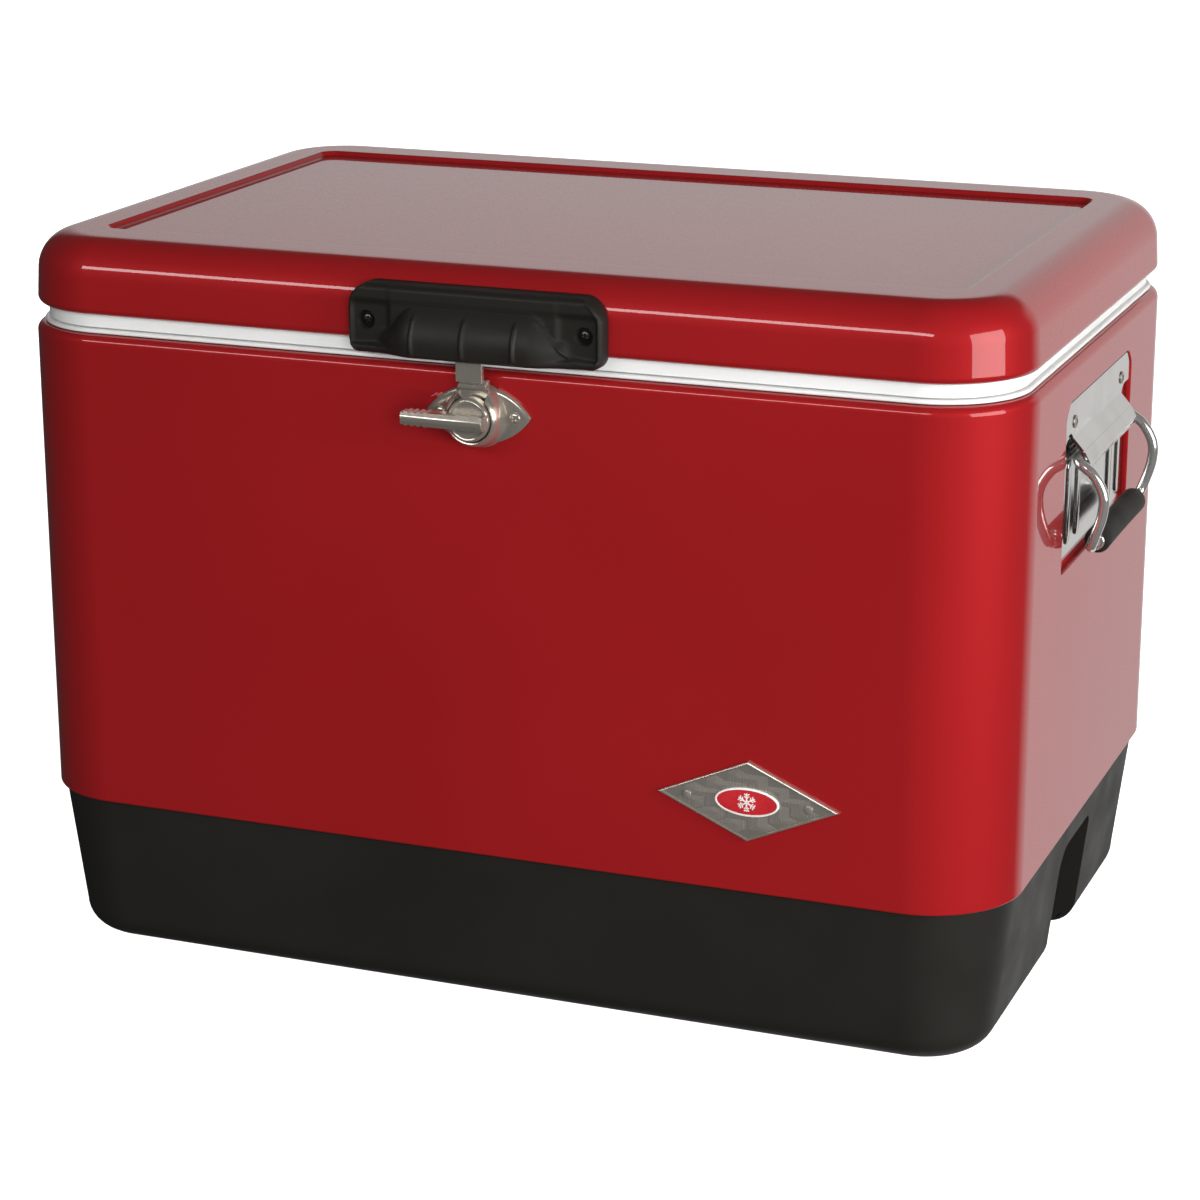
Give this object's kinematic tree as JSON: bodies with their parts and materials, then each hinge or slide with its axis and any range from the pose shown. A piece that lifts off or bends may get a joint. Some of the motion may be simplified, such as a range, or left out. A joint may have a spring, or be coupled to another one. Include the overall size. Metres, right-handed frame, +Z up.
{
  "type": "cooler chest",
  "caption": "Steel-belted ice chest: moulded base, painted steel belt and lid over an insulated tub, front turn latch, rear hinges, a swing-up bail at each end, drain.",
  "frame": {"origin": "middle of the flat underside, where the chest stands", "axes": "+Z up, +X along the front towards the right end, -Y out of the front, where the latch is"},
  "size_m": [0.622, 0.4157, 0.418],
  "materials": {
    "red_paint": "gloss",
    "black_plastic": "satin",
    "white_plastic": "satin",
    "foam": "matte",
    "stainless": "polished",
    "nickel": "satin",
    "stamped_steel": "satin",
    "enamel": "gloss",
    "grip": "matte",
    "rubber": "matte",
    "black_screw": "satin"
  },
  "bodies": {
    "chest": {"base_tub": "black_plastic", "steel_belt": "red_paint", "tub_liner": "white_plastic", "body_foam": "foam", "drain_gasket": "rubber", "drain_spout": "white_plastic", "drain_nut": "black_plastic", "latch_escutcheon": "nickel", "latch_screw_1": "nickel", "latch_screw_2": "nickel", "badge_plate": "stamped_steel", "badge_medallion": "enamel", "badge_rivet_1": "stamped_steel", "badge_rivet_2": "stamped_steel", "handle_backplate_right": "stainless", "handle_bracket_right": "stainless", "handle_screw_right_1": "stainless", "handle_screw_right_2": "stainless", "handle_backplate_left": "stainless", "handle_bracket_left": "stainless", "handle_screw_left_1": "stainless", "handle_screw_left_2": "stainless", "hinge_body_leaf_left": "stainless", "hinge_pin_left": "stainless", "hinge_body_leaf_right": "stainless", "hinge_pin_right": "stainless", "hinge_body_screw_1": "stainless", "hinge_body_screw_2": "stainless", "hinge_body_screw_3": "stainless", "hinge_body_screw_4": "stainless"},
    "lid": {"lid_shell": "red_paint", "lid_liner": "white_plastic", "lid_foam": "foam", "lid_handle": "black_plastic", "lid_handle_screw_1": "black_screw", "lid_handle_screw_2": "black_screw", "strike_plate": "stainless", "hinge_lid_leaf_left": "stainless", "hinge_lid_leaf_right": "stainless", "hinge_lid_screw_1": "stainless", "hinge_lid_screw_2": "stainless", "hinge_lid_screw_3": "stainless", "hinge_lid_screw_4": "stainless"},
    "latch": {"latch_lever": "nickel", "latch_clip": "stainless"},
    "bail_right": {"bail_right": "stainless", "bail_grip_right": "grip"},
    "bail_left": {"bail_left": "stainless", "bail_grip_left": "grip"},
    "drain_cap": {"drain_cap": "black_plastic"}
  },
  "joints": [
    {"name": "lid_hinge", "type": "hinge", "parent": "chest", "child": "lid", "pos_m": [0, 0.1955, 0.372], "axis": [-1, 0, 0], "range_deg": [0, 95]},
    {"name": "latch_turn", "type": "hinge", "parent": "chest", "child": "latch", "pos_m": [0, -0.192, 0.3425], "axis": [0, -1, 0], "range_deg": [0, 90]},
    {"name": "bail_swing_right", "type": "hinge", "parent": "chest", "child": "bail_right", "pos_m": [0.2916, 0, 0.3123], "axis": [0, -1, 0], "range_deg": [0, 100]},
    {"name": "bail_swing_left", "type": "hinge", "parent": "chest", "child": "bail_left", "pos_m": [-0.2916, 0, 0.3123], "axis": [0, 1, 0], "range_deg": [0, 100]},
    {"name": "drain_cap_off", "type": "slide", "parent": "chest", "child": "drain_cap", "axis": [-1, 0, 0], "range_m": [0, 0.03]}
  ]
}
